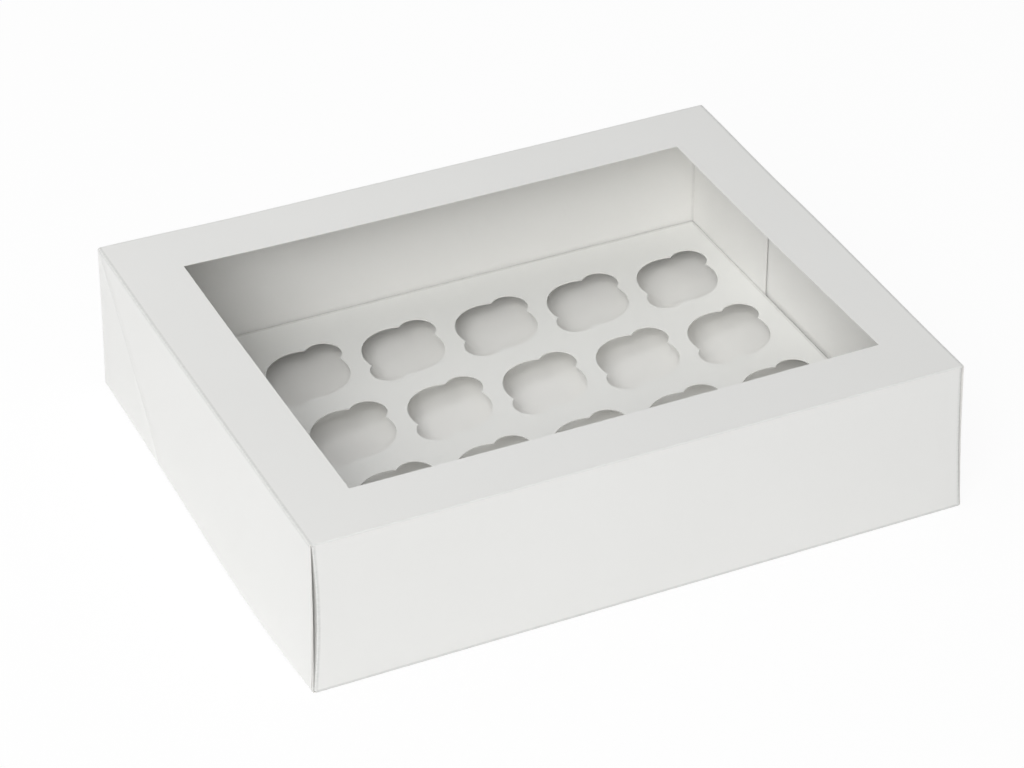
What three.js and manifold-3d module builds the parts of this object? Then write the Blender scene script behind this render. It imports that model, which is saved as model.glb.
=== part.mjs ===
// Cupcake box: a folded white board tray with a hinged window lid, and a loose insert that holds the cakes.
// Millimetres, +Z up. The origin is at the middle of the footprint, on the surface that the box stands on.
// The long side at -Y is the hinge side, where the lid folds over from the tray's near wall.

import * as THREE from 'three';
import { mergeVertices } from 'three/addons/utils/BufferGeometryUtils.js';
import Module from 'manifold-3d';

const wasm = await Module();
wasm.setup();

// Driving dimensions of the closed box

const boxLength = 450;
const boxWidth = 364;
const boxHeight = 109;
const boardThickness = 0.5;
const foldRadius = 0.5;

// The lid

const windowMarginLeft = 44;
const windowMarginRight = 41;
const windowMarginNear = 44;
const windowMarginFar = 44;
const lidFlapLength = 105;
const skirtLift = 2;
const skirtClearance = 0.4;
const hingeGap = 0.3;

// The window film

const filmThickness = 0.2;
const filmOverlap = 12;
const filmCornerRadius = 4;
const glueLine = 0.1;

// The tray

const trayFlapLength = 109;
const flapStandoff = 0.9;
const flapLift = 1.5;

// The insert

const insertHeight = 16;
const insertClearance = 0.3;
const insertLegRelief = 1.5;
const holeEdgeMargin = 10;
const columnPitch = 70;
const rowPitch = 77;
const holeRadius = 28.5;
const notchRadius = 13;
const notchOffset = 26.3;
const arcSegments = 5;

// Sizes that follow from the driving dimensions

const bendRadius = foldRadius + boardThickness;
const foldSegments = 2;
const lidUnderside = boxHeight - boardThickness;
const wallTop = lidUnderside - hingeGap;
const nearFace = -boxWidth / 2;
const farFace = boxWidth / 2;
const skirtInside = boxLength / 2 - boardThickness;
const lidFlapFace = skirtInside - glueLine;
const lidFlapInside = lidFlapFace - boardThickness;
const endWallFace = lidFlapInside - skirtClearance;
const trayFlapFace = endWallFace - boardThickness - flapStandoff;
const trayFlapInside = trayFlapFace - boardThickness;
const trayFarFace = farFace - boardThickness - skirtClearance;
const jointOverlap = 4;
const cutOvershoot = 4;

const windowLeft = -boxLength / 2 + windowMarginLeft;
const windowRight = boxLength / 2 - windowMarginRight;
const windowNear = nearFace + windowMarginNear;
const windowFar = farFace - windowMarginFar;

const insertHalfLength = trayFlapInside - insertClearance;
const insertNear = nearFace + bendRadius + insertClearance;
const insertFar = trayFarFace - bendRadius - insertClearance;
const insertMiddle = (insertNear + insertFar) / 2;
const holeSpan = 2 * (notchOffset * Math.SQRT1_2 + notchRadius);
const columnCount = holesThatFit(2 * insertHalfLength, columnPitch);
const rowCount = holesThatFit(insertFar - insertNear, rowPitch);

// Materials

const boardMaterial = new THREE.MeshStandardMaterial({ color: 0xe6e6e3, roughness: 0.6, metalness: 0 });
const insertMaterial = new THREE.MeshStandardMaterial({ color: 0xdfe0da, roughness: 0.65, metalness: 0 });
const filmMaterial = new THREE.MeshStandardMaterial({
  color: 0xffffff,
  roughness: 0.05,
  metalness: 0,
  transparent: true,
  opacity: 0.12,
});

// How many holes fit side by side in a length of the insert, with a margin left at both ends.
function holesThatFit(length, pitch) {
  return Math.floor((length - 2 * holeEdgeMargin - holeSpan) / pitch) + 1;
}

// Makes a solid of a closed three.js geometry, for joining and cutting.
function toSolid(geometry) {
  const bare = geometry.clone();
  bare.deleteAttribute('normal');
  bare.deleteAttribute('uv');
  const welded = mergeVertices(bare, 1e-4);
  const mesh = new wasm.Mesh({
    numProp: 3,
    vertProperties: new Float32Array(welded.attributes.position.array),
    triVerts: new Uint32Array(welded.index.array),
  });
  return new wasm.Manifold(mesh);
}

// Makes a three.js geometry of a joined or cut solid.
function toGeometry(solid) {
  const mesh = solid.getMesh();
  const geometry = new THREE.BufferGeometry();
  geometry.setAttribute('position', new THREE.BufferAttribute(new Float32Array(mesh.vertProperties), 3));
  geometry.setIndex(new THREE.BufferAttribute(new Uint32Array(mesh.triVerts), 1));
  geometry.computeVertexNormals();
  return geometry;
}

function join(geometries) {
  let joined = toSolid(geometries[0]);
  for (const geometry of geometries.slice(1)) {
    joined = joined.add(toSolid(geometry));
  }
  return joined;
}

function piece(name, geometry, material) {
  const mesh = new THREE.Mesh(geometry, material);
  mesh.name = name;
  return mesh;
}

// The outline of a sheet of board bent along one or more folds, seen end on. The corners lie on the sheet's
// outer face, and the path turns left at each fold, with the sheet on its left. Where the sheet goes on into a
// fold that isn't its own, the outer edge of its last end is rounded over.
function bentSheet(corners, roundLastEnd = false) {
  const points = corners.map(([across, up]) => new THREE.Vector2(across, up));
  const along = [];
  for (let i = 1; i < points.length; i += 1) {
    along.push(points[i].clone().sub(points[i - 1]).normalize());
  }
  const leftOf = (direction) => new THREE.Vector2(-direction.y, direction.x);
  const outline = new THREE.Shape();
  outline.moveTo(points[0].x, points[0].y);
  const folds = [];
  for (let i = 1; i < points.length - 1; i += 1) {
    const before = leftOf(along[i - 1]);
    const after = leftOf(along[i]);
    const turn = Math.acos(THREE.MathUtils.clamp(along[i - 1].dot(along[i]), -1, 1));
    const reach = bendRadius * Math.tan(turn / 2);
    const centre = points[i].clone().addScaledVector(along[i - 1], -reach).addScaledVector(before, bendRadius);
    const start = Math.atan2(-before.y, -before.x);
    const end = Math.atan2(-after.y, -after.x);
    folds.push({ centre, start, end });
    outline.absarc(centre.x, centre.y, bendRadius, start, end, false);
  }
  const last = points[points.length - 1];
  const forward = along[along.length - 1];
  const inward = leftOf(forward);
  const lastInside = last.clone().addScaledVector(inward, boardThickness);
  if (roundLastEnd) {
    const centre = lastInside.clone().addScaledVector(forward, -boardThickness);
    const start = Math.atan2(-inward.y, -inward.x);
    outline.absarc(centre.x, centre.y, boardThickness, start, start + Math.PI / 2, false);
  } else {
    outline.lineTo(last.x, last.y);
    outline.lineTo(lastInside.x, lastInside.y);
  }
  for (const { centre, start, end } of folds.reverse()) {
    outline.absarc(centre.x, centre.y, foldRadius, end, start, true);
  }
  const firstInside = points[0].clone().addScaledVector(leftOf(along[0]), boardThickness);
  outline.lineTo(firstInside.x, firstInside.y);
  return outline;
}

// Gives an outline a length, along the axis that it is seen from.
function extrude(outline, length, curveSegments = foldSegments) {
  return new THREE.ExtrudeGeometry(outline, { depth: length, bevelEnabled: false, steps: 1, curveSegments });
}

// An outline drawn in Y and Z, extruded along X from one place to another.
function alongX(outline, from, to) {
  return extrude(outline, to - from).rotateX(Math.PI / 2).rotateZ(Math.PI / 2).translate(from, 0, 0);
}

// An outline drawn in X and Z, extruded along Y from one place to another.
function alongY(outline, from, to) {
  return extrude(outline, to - from).rotateX(Math.PI / 2).translate(0, to, 0);
}

// An outline drawn in X and Y, extruded upwards from one height to another.
function alongZ(outline, from, to, curveSegments = foldSegments) {
  return extrude(outline, to - from, curveSegments).translate(0, 0, from);
}

function rectangle(left, right, near, far) {
  const outline = new THREE.Shape();
  outline.moveTo(left, near);
  outline.lineTo(right, near);
  outline.lineTo(right, far);
  outline.lineTo(left, far);
  return outline;
}

// The tray is one sheet. Its floor and end walls are one trough and its floor and long walls another, and each
// long wall goes on round both of its corners as a flap that stands inside the end wall.
function trayGeometry() {
  const endTrough = bentSheet([
    [-endWallFace, wallTop],
    [-endWallFace, 0],
    [endWallFace, 0],
    [endWallFace, wallTop],
  ]);
  const longTrough = bentSheet([
    [nearFace, wallTop],
    [nearFace, 0],
    [trayFarFace, 0],
    [trayFarFace, wallTop],
  ]);
  const nearWallAndFlaps = bentSheet([
    [-trayFlapFace, nearFace + trayFlapLength],
    [-trayFlapFace, nearFace],
    [trayFlapFace, nearFace],
    [trayFlapFace, nearFace + trayFlapLength],
  ]);
  const farWallAndFlaps = bentSheet([
    [trayFlapFace, trayFarFace - trayFlapLength],
    [trayFlapFace, trayFarFace],
    [-trayFlapFace, trayFarFace],
    [-trayFlapFace, trayFarFace - trayFlapLength],
  ]);
  const flatHalfLength = trayFlapFace - bendRadius;
  return toGeometry(join([
    alongY(endTrough, nearFace + bendRadius, trayFarFace - bendRadius),
    alongX(longTrough, -flatHalfLength, flatHalfLength),
    alongZ(nearWallAndFlaps, flapLift, wallTop),
    alongZ(farWallAndFlaps, flapLift, wallTop),
  ]));
}

// The lid is the rest of the same sheet. Its end skirts hang outside the tray's end walls and are free at the
// hinge side. At the far corners, flaps on the far skirt are glued to the inner faces of the end skirts. Its near
// edge is the outer half of the hinge fold, so it turns down to the near wall in a quarter round.
function lidGeometry() {
  const endSkirts = bentSheet([
    [boxLength / 2, skirtLift],
    [boxLength / 2, boxHeight],
    [-boxLength / 2, boxHeight],
    [-boxLength / 2, skirtLift],
  ]);
  const farSkirt = bentSheet([
    [farFace, skirtLift],
    [farFace, boxHeight],
    [nearFace, boxHeight],
  ], true);
  const farSkirtAndFlaps = bentSheet([
    [lidFlapFace, farFace - lidFlapLength],
    [lidFlapFace, farFace],
    [-lidFlapFace, farFace],
    [-lidFlapFace, farFace - lidFlapLength],
  ]);
  const flatHalfLength = boxLength / 2 - bendRadius;
  const folded = join([
    alongY(endSkirts, nearFace + boardThickness, farFace - bendRadius),
    alongX(farSkirt, -flatHalfLength, flatHalfLength),
    alongZ(farSkirtAndFlaps, skirtLift, boxHeight - bendRadius),
  ]);
  const windowOutline = rectangle(windowLeft, windowRight, windowNear, windowFar);
  const windowCut = alongZ(windowOutline, lidUnderside - cutOvershoot, boxHeight + cutOvershoot);
  return toGeometry(folded.subtract(toSolid(windowCut)));
}

// The clear film is glued under the lid, round the window.
function filmGeometry() {
  const left = windowLeft - filmOverlap;
  const right = windowRight + filmOverlap;
  const near = windowNear - filmOverlap;
  const far = windowFar + filmOverlap;
  const radius = filmCornerRadius;
  const quarter = Math.PI / 2;
  const outline = new THREE.Shape();
  outline.absarc(right - radius, far - radius, radius, 0, quarter, false);
  outline.absarc(left + radius, far - radius, radius, quarter, 2 * quarter, false);
  outline.absarc(left + radius, near + radius, radius, 2 * quarter, 3 * quarter, false);
  outline.absarc(right - radius, near + radius, radius, 3 * quarter, 4 * quarter, false);
  const filmTop = lidUnderside - glueLine;
  return alongZ(outline, filmTop - filmThickness, filmTop);
}

// A hole is a circle with a finger notch on two opposite sides, on the diagonal.
function holeOutline(centreX, centreY) {
  const cuspAcross = (notchOffset ** 2 + holeRadius ** 2 - notchRadius ** 2) / (2 * notchOffset);
  const cuspAngle = Math.acos(cuspAcross / holeRadius);
  const notchAngle = Math.atan2(holeRadius * Math.sin(cuspAngle), cuspAcross - notchOffset);
  const outline = new THREE.Path();
  for (const diagonal of [Math.PI / 4, 5 * Math.PI / 4]) {
    const notchX = centreX + notchOffset * Math.cos(diagonal);
    const notchY = centreY + notchOffset * Math.sin(diagonal);
    const nextNotch = diagonal + Math.PI;
    outline.absarc(notchX, notchY, notchRadius, diagonal - notchAngle, diagonal + notchAngle, false);
    outline.absarc(centreX, centreY, holeRadius, diagonal + cuspAngle, nextNotch - cuspAngle, false);
  }
  return outline;
}

// The insert is a sheet with a grid of holes, folded down along its four sides into legs that stand on the floor.
function insertGeometry() {
  const flatHalfLength = insertHalfLength - bendRadius;
  const flatNear = insertNear + bendRadius;
  const flatFar = insertFar - bendRadius;
  const top = rectangle(-flatHalfLength, flatHalfLength, flatNear, flatFar);
  for (let column = 0; column < columnCount; column += 1) {
    for (let row = 0; row < rowCount; row += 1) {
      const x = (column - (columnCount - 1) / 2) * columnPitch;
      const y = insertMiddle + (row - (rowCount - 1) / 2) * rowPitch;
      top.holes.push(holeOutline(x, y));
    }
  }
  const legs = [];
  for (const side of [-1, 1]) {
    const endLeg = bentSheet([
      [insertHalfLength, boardThickness],
      [insertHalfLength, insertHeight],
      [insertHalfLength - jointOverlap, insertHeight],
    ]);
    const leg = alongY(endLeg, flatNear + insertLegRelief, flatFar - insertLegRelief);
    legs.push(side > 0 ? leg : leg.translate(0, -insertMiddle, 0).rotateZ(Math.PI).translate(0, insertMiddle, 0));
  }
  const legFrom = -flatHalfLength + insertLegRelief;
  const legTo = flatHalfLength - insertLegRelief;
  const farLeg = bentSheet([
    [insertFar, boardThickness],
    [insertFar, insertHeight],
    [insertFar - jointOverlap, insertHeight],
  ]);
  const nearLeg = bentSheet([
    [insertNear + jointOverlap, insertHeight],
    [insertNear, insertHeight],
    [insertNear, boardThickness],
  ]);
  legs.push(alongX(farLeg, legFrom, legTo));
  legs.push(alongX(nearLeg, legFrom, legTo));
  const panel = alongZ(top, insertHeight - boardThickness, insertHeight, arcSegments);
  return toGeometry(join([panel, ...legs]));
}

const cupcakeBox = new THREE.Group();
cupcakeBox.add(piece('tray', trayGeometry(), boardMaterial));
cupcakeBox.add(piece('insert', insertGeometry(), insertMaterial));
cupcakeBox.add(piece('lid', lidGeometry(), boardMaterial));
cupcakeBox.add(piece('window_film', filmGeometry(), filmMaterial));

export default cupcakeBox;
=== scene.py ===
"""A cupcake box of folded white board: a tray, a hinged window lid, a holed insert and the window's film.

Everything is in metres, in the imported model's frame: +X runs along the long side, +Y from the hinge side to
the opening side, and +Z up. Each sheet of board is modelled as it is folded: its outer face is laid flat,
scored, cut out and folded down or up, then bent a little as real board bends, and last given its thickness.
"""

import logging
import math
from collections.abc import Callable
from dataclasses import dataclass, field
from enum import Enum, IntEnum

import bmesh
import bpy
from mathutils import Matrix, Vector


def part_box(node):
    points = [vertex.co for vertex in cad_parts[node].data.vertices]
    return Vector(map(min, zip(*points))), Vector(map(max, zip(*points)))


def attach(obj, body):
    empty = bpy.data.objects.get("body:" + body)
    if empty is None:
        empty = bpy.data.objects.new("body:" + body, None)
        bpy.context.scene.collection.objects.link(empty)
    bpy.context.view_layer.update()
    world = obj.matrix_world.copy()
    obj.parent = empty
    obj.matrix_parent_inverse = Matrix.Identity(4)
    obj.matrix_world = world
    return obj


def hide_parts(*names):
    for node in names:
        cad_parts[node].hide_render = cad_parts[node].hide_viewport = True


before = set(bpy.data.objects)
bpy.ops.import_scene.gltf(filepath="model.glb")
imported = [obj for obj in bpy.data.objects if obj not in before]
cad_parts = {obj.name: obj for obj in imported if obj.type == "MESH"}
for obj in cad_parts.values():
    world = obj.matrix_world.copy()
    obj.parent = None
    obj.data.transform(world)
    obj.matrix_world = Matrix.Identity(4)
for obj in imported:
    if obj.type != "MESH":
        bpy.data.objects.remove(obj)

LOG = logging.getLogger("cupcake_box")
MM = 0.001
NEAR_ENOUGH = 0.02 * MM
QUARTER_TURN = math.pi / 2
FILM_OVERLAP = 12 * MM
# The mesh attribute that says where the board is painted darker, along its folds and creases.
FOLD_DARKENING = "fold_darkening"
SMOOTH_ANGLE = math.radians(35)
SENSOR_WIDTH = 36

Test = Callable[[Vector], bool]


class Axis(IntEnum):
    """The frame's axes, as places in a vector."""

    X = 0
    Y = 1
    Z = 2

    @property
    def direction(self) -> Vector:
        """The axis as a unit vector."""
        return Vector([float(i == self) for i in range(3)])


class Body(Enum):
    """The bodies that the pieces move with."""

    BASE = "base"
    LID = "lid"


class Slot(Enum):
    """The record's material slots."""

    WHITE_BOARD = "white_board"
    INSERT_BOARD = "insert_board"
    CLEAR_FILM = "clear_film"


class Side(IntEnum):
    """The two ends of the box, as the sign of X there."""

    LEFT = -1
    RIGHT = 1


@dataclass(frozen=True)
class Extent:
    """The lowest and highest corner of a piece.

    Attributes:
        low: The corner with the smallest X, Y and Z.
        high: The corner with the largest X, Y and Z.
    """

    low: Vector
    high: Vector

    @classmethod
    def of_node(cls, node: str) -> "Extent":
        """Reads a CAD node's extent.

        Args:
            node: The node's name.

        Returns:
            Its extent at rest.
        """
        low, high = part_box(node)
        return cls(low, high)

    @property
    def centre(self) -> Vector:
        """The point in the middle."""
        return (self.low + self.high) / 2

    def shrunk(self, margin: float) -> "Extent":
        """Gives the extent with a margin taken off in X and Y."""
        inset = Vector((margin, margin, 0))
        return Extent(self.low + inset, self.high - inset)

    def holds(self, point: Vector) -> bool:
        """Says whether a point lies inside the extent, seen from above."""
        return all(self.low[axis] < point[axis] < self.high[axis] for axis in (Axis.X, Axis.Y))


def ramp(value: float, start: float, end: float) -> float:
    """Gives how far a value has come from start to end, as a share from 0 to 1."""
    return min(1.0, max(0.0, (value - start) / (end - start)))


def ease(share: float) -> float:
    """Smooths a share from 0 to 1, so that it starts and ends flat."""
    return share * share * (3 - 2 * share)


def hump(share: float) -> float:
    """Gives a half sine over a share: 0 at both ends and 1 in the middle."""
    return math.sin(math.pi * min(1.0, max(0.0, share)))


def spaced(low: float, high: float, pitch: float) -> list[float]:
    """Divides a length evenly into parts of about one pitch, and gives the places between them."""
    parts = max(1, round((high - low) / pitch))
    return [low + (high - low) * i / parts for i in range(1, parts)]


def at(axis: Axis, place: float) -> Test:
    """Makes a test for points at one place along an axis."""
    return lambda point: abs(point[axis] - place) < NEAR_ENOUGH


def at_both(axis: Axis, reach: float) -> Test:
    """Makes a test for points at one distance from the middle along an axis, on either side."""
    return lambda point: abs(abs(point[axis]) - reach) < NEAR_ENOUGH


def beyond(axis: Axis, reach: float) -> Test:
    """Makes a test for points further than a distance from the middle along an axis, on either side."""
    return lambda point: abs(point[axis]) > reach


def bearing(point: Vector) -> float:
    """Gives the direction of a point from the origin, seen from above, as an angle from 0 to a whole turn."""
    return math.atan2(point.y, point.x) % math.tau


def anywhere(point: Vector) -> bool:
    """Is a test that every point passes."""
    return True


def within(axis: Axis, low: float, high: float) -> Test:
    """Makes a test for points between two places along an axis, or on either of them."""
    return lambda point: low - NEAR_ENOUGH < point[axis] < high + NEAR_ENOUGH


def every(*tests: Test) -> Test:
    """Makes a test that a point passes where it passes all of several."""
    return lambda point: all(test(point) for test in tests)


def pick(piece: bpy.types.Object) -> None:
    """Makes a piece the only one that is selected, and the active one.

    Args:
        piece: The piece.
    """
    bpy.ops.object.select_all(action="DESELECT")
    piece.select_set(True)
    bpy.context.view_layer.objects.active = piece


class BoardSheet:
    """A sheet of board that is being folded, modelled in edit mode by its outer face.

    Attributes:
        piece: The Blender object that is being made.
    """

    def __init__(self, name: str, outline: list[Vector]) -> None:
        """Starts a piece with a ring of edges round the middle, and opens it for editing.

        Args:
            name: The piece's name.
            outline: The ring's points, seen from above, round the origin.
        """
        bpy.ops.object.select_all(action="DESELECT")
        bpy.ops.mesh.primitive_circle_add(vertices=len(outline), radius=1, location=(0, 0, 0))
        self.piece = bpy.context.active_object
        self.piece.name = name
        self.piece.data.name = name
        bpy.ops.object.mode_set(mode="EDIT")
        self._shape_ring(outline)

    @classmethod
    def panel(cls, name: str, low: Vector, high: Vector, height: float) -> "BoardSheet":
        """Lays a flat rectangular panel down.

        Args:
            name: The piece's name.
            low: The panel's corner with the smallest X and Y.
            high: The opposite corner.
            height: Its height.

        Returns:
            The sheet.
        """
        corners = [(high.x, high.y), (low.x, high.y), (low.x, low.y), (high.x, low.y)]
        sheet = cls(name, [Vector((x, y, height)) for x, y in corners])
        bpy.ops.mesh.edge_face_add()
        return sheet

    def add_ring(self, outline: list[Vector]) -> None:
        """Adds another ring of edges round the origin.

        Args:
            outline: The ring's points, seen from above, round the origin.
        """
        bpy.ops.mesh.select_all(action="DESELECT")
        bpy.ops.mesh.primitive_circle_add(vertices=len(outline), radius=1, location=(0, 0, 0))
        self._shape_ring(outline)

    def _shape_ring(self, outline: list[Vector]) -> None:
        """Moves the ring that is selected on to an outline, point by point in order of their bearing.

        Args:
            outline: The outline's points, as many as the ring has.
        """
        mesh = self._mesh()
        chosen = [vertex for vertex in mesh.verts if vertex.select]
        ring = sorted(chosen, key=lambda vertex: bearing(vertex.co))
        for vertex, point in zip(ring, sorted(outline, key=bearing), strict=True):
            vertex.co = point
        bmesh.update_edit_mesh(self.piece.data)

    def _mesh(self) -> bmesh.types.BMesh:
        """Gives the mesh that is open in edit mode."""
        return bmesh.from_edit_mesh(self.piece.data)

    def _pass_selection_on(self, mesh: bmesh.types.BMesh) -> None:
        """Lets the operators see a selection that was made in code."""
        mesh.select_flush_mode()
        bmesh.update_edit_mesh(self.piece.data)

    def select_faces(self, wanted: Test) -> int:
        """Selects the faces whose centre passes a test.

        Args:
            wanted: Says of a face's centre whether the face is wanted.

        Returns:
            How many faces are selected.
        """
        bpy.ops.mesh.select_mode(type="FACE")
        bpy.ops.mesh.select_all(action="DESELECT")
        mesh = self._mesh()
        for face in mesh.faces:
            face.select_set(wanted(face.calc_center_median()))
        self._pass_selection_on(mesh)
        return sum(face.select for face in mesh.faces)

    def select_rim(self, wanted: Test) -> int:
        """Selects the free edges of the sheet that lie wholly where a test says.

        Args:
            wanted: Says of a point whether it is in the wanted place.

        Returns:
            How many edges are selected.
        """
        bpy.ops.mesh.select_mode(type="EDGE")
        bpy.ops.mesh.select_all(action="DESELECT")
        mesh = self._mesh()
        for edge in mesh.edges:
            edge.select_set(edge.is_boundary and all(wanted(vertex.co) for vertex in edge.verts))
        self._pass_selection_on(mesh)
        return sum(edge.select for edge in mesh.edges)

    def score(self, place: Vector, normal: Vector, only: Test = anywhere) -> None:
        """Cuts a line of edges into the sheet, where a plane meets it.

        Args:
            place: A point on the plane.
            normal: The plane's normal.
            only: Only the faces whose centre passes this test are scored.
        """
        self.select_faces(only)
        bpy.ops.mesh.bisect(plane_co=place, plane_no=normal)

    def score_across(self, axis: Axis, places: list[float], only: Test = anywhere) -> None:
        """Scores the sheet at several places along an axis.

        Args:
            axis: The axis that the lines cross.
            places: Where they cross it.
            only: Only the faces whose centre passes this test are scored.
        """
        for place in places:
            self.score(axis.direction * place, axis.direction, only)

    def cut_out(self, wanted: Test) -> None:
        """Removes the faces whose centre passes a test."""
        self.select_faces(wanted)
        bpy.ops.mesh.delete(type="FACE")

    def fold(self, rim: Test, centre: Vector, axis: Vector, angle: float, steps: int = 5) -> None:
        """Adds a rounded fold along a free edge of the sheet.

        Args:
            rim: Says where the free edge is.
            centre: A point on the line that the fold bends about.
            axis: That line's direction.
            angle: How far the sheet turns, by the right-hand rule about the axis.
            steps: How many strips go round the fold.
        """
        if not self.select_rim(rim):
            raise ValueError(f"{self.piece.name} has no edge to fold at {centre}")
        # The spin operator turns against the right-hand rule.
        bpy.ops.mesh.spin(steps=steps, angle=-angle, center=centre, axis=axis)

    def extend(self, rim: Test, by: Vector) -> None:
        """Adds a flat strip along a free edge of the sheet.

        Args:
            rim: Says where the free edge is.
            by: How far, and which way, the strip goes.
        """
        if not self.select_rim(rim):
            raise ValueError(f"{self.piece.name} has no edge to extend by {by}")
        bpy.ops.mesh.extrude_region_move(TRANSFORM_OT_translate={"value": by})

    def weld(self, middle: Vector) -> None:
        """Merges doubled points and turns every face outwards.

        Args:
            middle: A point inside the form that the sheet is folded round.
        """
        bpy.ops.mesh.select_mode(type="VERT")
        bpy.ops.mesh.select_all(action="SELECT")
        bpy.ops.mesh.remove_doubles(threshold=NEAR_ENOUGH)
        bpy.ops.mesh.normals_make_consistent(inside=False)
        faces = self._mesh().faces
        if sum(face.normal.dot(face.calc_center_median() - middle) for face in faces) < 0:
            bpy.ops.mesh.flip_normals()

    def bridge(self) -> None:
        """Fills the space between two rings with board."""
        bpy.ops.mesh.select_mode(type="EDGE")
        bpy.ops.mesh.select_all(action="SELECT")
        bpy.ops.mesh.bridge_edge_loops()

    def move_all(self, by: Vector) -> None:
        """Moves the whole sheet."""
        bpy.ops.mesh.select_all(action="SELECT")
        bpy.ops.transform.translate(value=by)

    def repeat(self, count: int, step: Vector) -> None:
        """Copies all that there is in a row, and joins each copy to the one before it.

        Args:
            count: How many there are in the end, with the first one.
            step: From each one to the next.
        """
        bpy.ops.mesh.select_all(action="SELECT")
        for _ in range(count - 1):
            bpy.ops.mesh.duplicate_move(TRANSFORM_OT_translate={"value": step})
        bpy.ops.mesh.select_all(action="SELECT")
        bpy.ops.mesh.remove_doubles(threshold=NEAR_ENOUGH)

    def mark(self, name: str, strength: Callable[[Vector], float]) -> None:
        """Stores how strongly an effect shows at each point, for a material to read.

        Args:
            name: The attribute's name.
            strength: Gives the effect's strength at a point, from 0 to 1.
        """
        mesh = self._mesh()
        layer = mesh.verts.layers.float.new(name)
        for vertex in mesh.verts:
            vertex[layer] = strength(vertex.co)
        bmesh.update_edit_mesh(self.piece.data)

    def bend(self, offset: Callable[[Vector], Vector]) -> None:
        """Moves the points of the flat-sided form, as real board bends.

        Args:
            offset: Gives how far a point moves.
        """
        mesh = self._mesh()
        for vertex in mesh.verts:
            vertex.co += offset(vertex.co.copy())
        bmesh.update_edit_mesh(self.piece.data)

    def finish(self, thickness: float, faces: list[bpy.types.Material]) -> bpy.types.Object:
        """Gives the sheet its thickness on the inside, and its materials.

        Args:
            thickness: The sheet's thickness.
            faces: The materials of the outer face, the inner face and the cut edges.

        Returns:
            The piece, in object mode.
        """
        bpy.ops.mesh.select_all(action="DESELECT")
        bpy.ops.object.mode_set(mode="OBJECT")
        for material in faces:
            self.piece.data.materials.append(material)
        pick(self.piece)
        wall = self.piece.modifiers.new("thickness", "SOLIDIFY")
        wall.thickness = thickness
        wall.offset = -1
        wall.use_even_offset = True
        wall.material_offset = 1
        wall.material_offset_rim = 2
        bpy.ops.object.modifier_apply(modifier=wall.name)
        bpy.ops.object.shade_smooth_by_angle(angle=SMOOTH_ANGLE)
        return self.piece


class Shader:
    """A material's node tree, with short ways to add nodes to it.

    Attributes:
        material: The material that is being made.
        bsdf: Its Principled BSDF.
    """

    def __init__(self, name: str) -> None:
        """Starts a material that has a Principled BSDF.

        Args:
            name: The material's name.
        """
        self.material = bpy.data.materials.new(name)
        self.material.use_nodes = True
        self.tree = self.material.node_tree
        self.bsdf = next(node for node in self.tree.nodes if node.type == "BSDF_PRINCIPLED")

    def add(self, kind: str, **settings: object) -> bpy.types.Node:
        """Adds a node.

        Args:
            kind: The node's type name.
            **settings: Its properties.

        Returns:
            The node.
        """
        node = self.tree.nodes.new(kind)
        for name, value in settings.items():
            setattr(node, name, value)
        return node

    def link(self, source: bpy.types.NodeSocket, target: bpy.types.NodeSocket) -> None:
        """Joins an output to an input."""
        self.tree.links.new(source, target)

    def set(self, socket: str, value: object) -> None:
        """Sets a constant on the Principled BSDF's own socket."""
        self.bsdf.inputs[socket].default_value = value

    def mixed(self, factor: bpy.types.NodeSocket, first: object, second: object) -> bpy.types.NodeSocket:
        """Mixes two colours.

        Args:
            factor: The share of the second colour.
            first: A colour, or an output that gives one.
            second: A colour, or an output that gives one.

        Returns:
            The output that gives the mixed colour.
        """
        mix = self.add("ShaderNodeMix", data_type="RGBA")
        self.link(factor, mix.inputs[0])
        for socket, value in ((mix.inputs[6], first), (mix.inputs[7], second)):
            if isinstance(value, bpy.types.NodeSocket):
                self.link(value, socket)
            else:
                socket.default_value = (*value, 1)
        return mix.outputs[2]


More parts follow.
